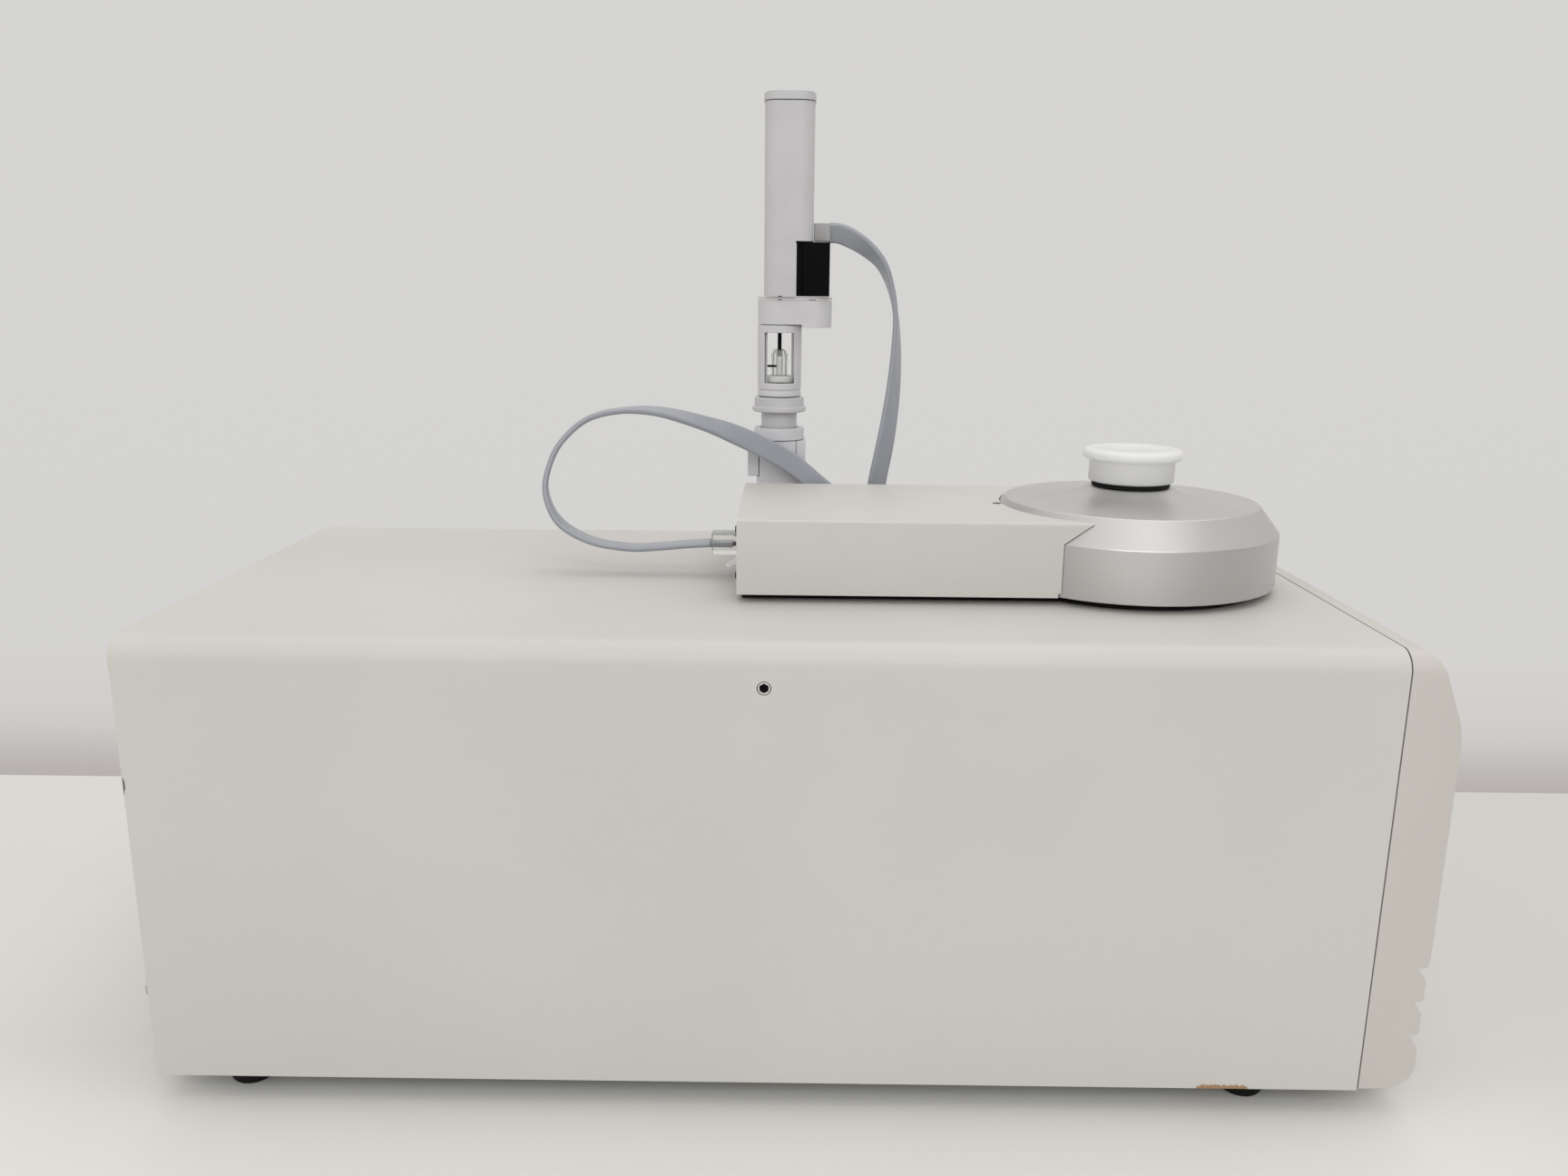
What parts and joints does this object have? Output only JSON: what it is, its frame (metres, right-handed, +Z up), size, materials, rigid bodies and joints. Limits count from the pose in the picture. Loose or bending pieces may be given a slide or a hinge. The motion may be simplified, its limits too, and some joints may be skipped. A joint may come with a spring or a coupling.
{
  "type": "bench calorimeter cell unit with titration pipette",
  "caption": "Low bench instrument with a round metal cell port on a top arm, and a motor-stirred titration pipette standing in its rest, wired by a flat cable.",
  "frame": {"origin": "on the bench, below the middle of the instrument's box, the free cable left out", "axes": "+X to the instrument's front, +Y to its right side, +Z up"},
  "size_m": [0.4626, 0.211, 0.3748],
  "materials": {
    "painted_sheet": "fine-texture light warm-grey powder coat",
    "front_moulding": "light warm-grey moulding, lightly textured",
    "zinc_sheet": "zinc-plated sheet steel",
    "satin_aluminium": "satin, finely blasted and clear anodised",
    "cast_aluminium": "plain machined",
    "anodised_grey": "pale grey satin anodised",
    "black_plastic": "satin black",
    "black_rubber": "matt black",
    "white_plastic": "milky white, slightly translucent, satin",
    "clear_plastic": "clear moulded plastic",
    "borosilicate": "clear glass",
    "bright_steel": "bright steel",
    "cable_grey": "satin silver-grey PVC",
    "board_green": "solder mask",
    "gold_alloy": "plated cell alloy",
    "ceramic": "alumina plates"
  },
  "bodies": {
    "root": {"base_pan": "zinc_sheet", "cover": "painted_sheet", "front_panel": "front_moulding", "rear_panel": "painted_sheet", "foot_rear_left": "black_rubber", "foot_rear_right": "black_rubber", "foot_front_left": "black_rubber", "foot_front_right": "black_rubber", "cover_screw_left": "bright_steel", "cover_screw_right": "bright_steel", "rear_screw_left": "bright_steel", "rear_screw_right": "bright_steel", "mains_inlet": "black_plastic", "data_socket": "bright_steel", "fan_frame": "black_plastic", "fan_guard": "bright_steel", "arm_housing": "painted_sheet", "arm_end_plate": "painted_sheet", "arm_gasket": "black_rubber", "port_cover": "satin_aluminium", "port_seal": "black_rubber", "arm_jack": "black_plastic", "arm_plug": "clear_plastic", "heat_sink": "cast_aluminium", "peltier_module": "ceramic", "cell_jacket": "cast_aluminium", "sample_cell": "gold_alloy", "reference_cell": "gold_alloy", "control_board": "board_green", "power_supply": "zinc_sheet", "holder_base": "anodised_grey", "holder_block": "anodised_grey", "holder_clamp_rear": "anodised_grey", "holder_clamp_front": "anodised_grey", "holder_collar": "anodised_grey", "holder_tube": "white_plastic", "signal_cable": "cable_grey"},
    "pipette": {"pipette_tube": "anodised_grey", "pipette_cap": "anodised_grey", "stir_motor": "black_plastic", "pipette_plug": "clear_plastic", "drive_head": "anodised_grey", "head_lid": "anodised_grey", "drive_belt": "black_rubber", "window_frame": "anodised_grey", "pipette_nose": "anodised_grey", "plunger_motor": "black_plastic"},
    "stirrer": {"driven_pulley": "black_plastic", "spin_cage": "anodised_grey", "syringe_base": "white_plastic", "syringe_holder": "clear_plastic", "syringe_glass": "borosilicate", "stir_needle": "bright_steel"},
    "motor_rotor": {"motor_pulley": "black_plastic"},
    "plunger": {"lead_screw": "bright_steel", "plunger_rod": "black_plastic"},
    "locking_ring": {"lock_ring": "anodised_grey"},
    "plug": {"cell_plug": "white_plastic"},
    "fan_impeller": {"fan_rotor": "black_plastic"},
    "rocker": {"power_switch": "black_plastic"}
  },
  "joints": [
    {"name": "pipette_lift", "type": "slide", "parent": "root", "child": "pipette", "axis": [0, 0, 1], "range_m": [0, 0.14], "deforming": ["signal_cable"]},
    {"name": "syringe_spin", "type": "hinge", "parent": "pipette", "child": "stirrer", "pos_m": [-0.0036, 0.0695, 0.26], "axis": [0, 0, 1], "continuous": true},
    {"name": "stir_motor_spin", "type": "hinge", "parent": "pipette", "child": "motor_rotor", "pos_m": [0.011, 0.0695, 0.2816], "axis": [0, 0, 1], "continuous": true},
    {"name": "plunger_drive", "type": "slide", "parent": "pipette", "child": "plunger", "axis": [0, 0, -1], "range_m": [0, 0.01]},
    {"name": "lock_ring_turn", "type": "hinge", "parent": "pipette", "child": "locking_ring", "pos_m": [-0.0036, 0.0695, 0.241], "axis": [0, 0, 1], "range_deg": [0, 60]},
    {"name": "cell_plug_lift", "type": "slide", "parent": "root", "child": "plug", "axis": [0, 0, 1], "range_m": [0, 0.06]},
    {"name": "fan_spin", "type": "hinge", "parent": "root", "child": "fan_impeller", "pos_m": [-0.213, 0.048, 0.104], "axis": [1, 0, 0], "continuous": true},
    {"name": "power_rocker", "type": "hinge", "parent": "root", "child": "rocker", "pos_m": [-0.2245, -0.058, 0.076], "axis": [0, 1, 0], "range_deg": [-14, 0]}
  ],
  "couplings": [
    {"joint": "stir_motor_spin", "follows": "syringe_spin", "ratio": 1.4}
  ]
}
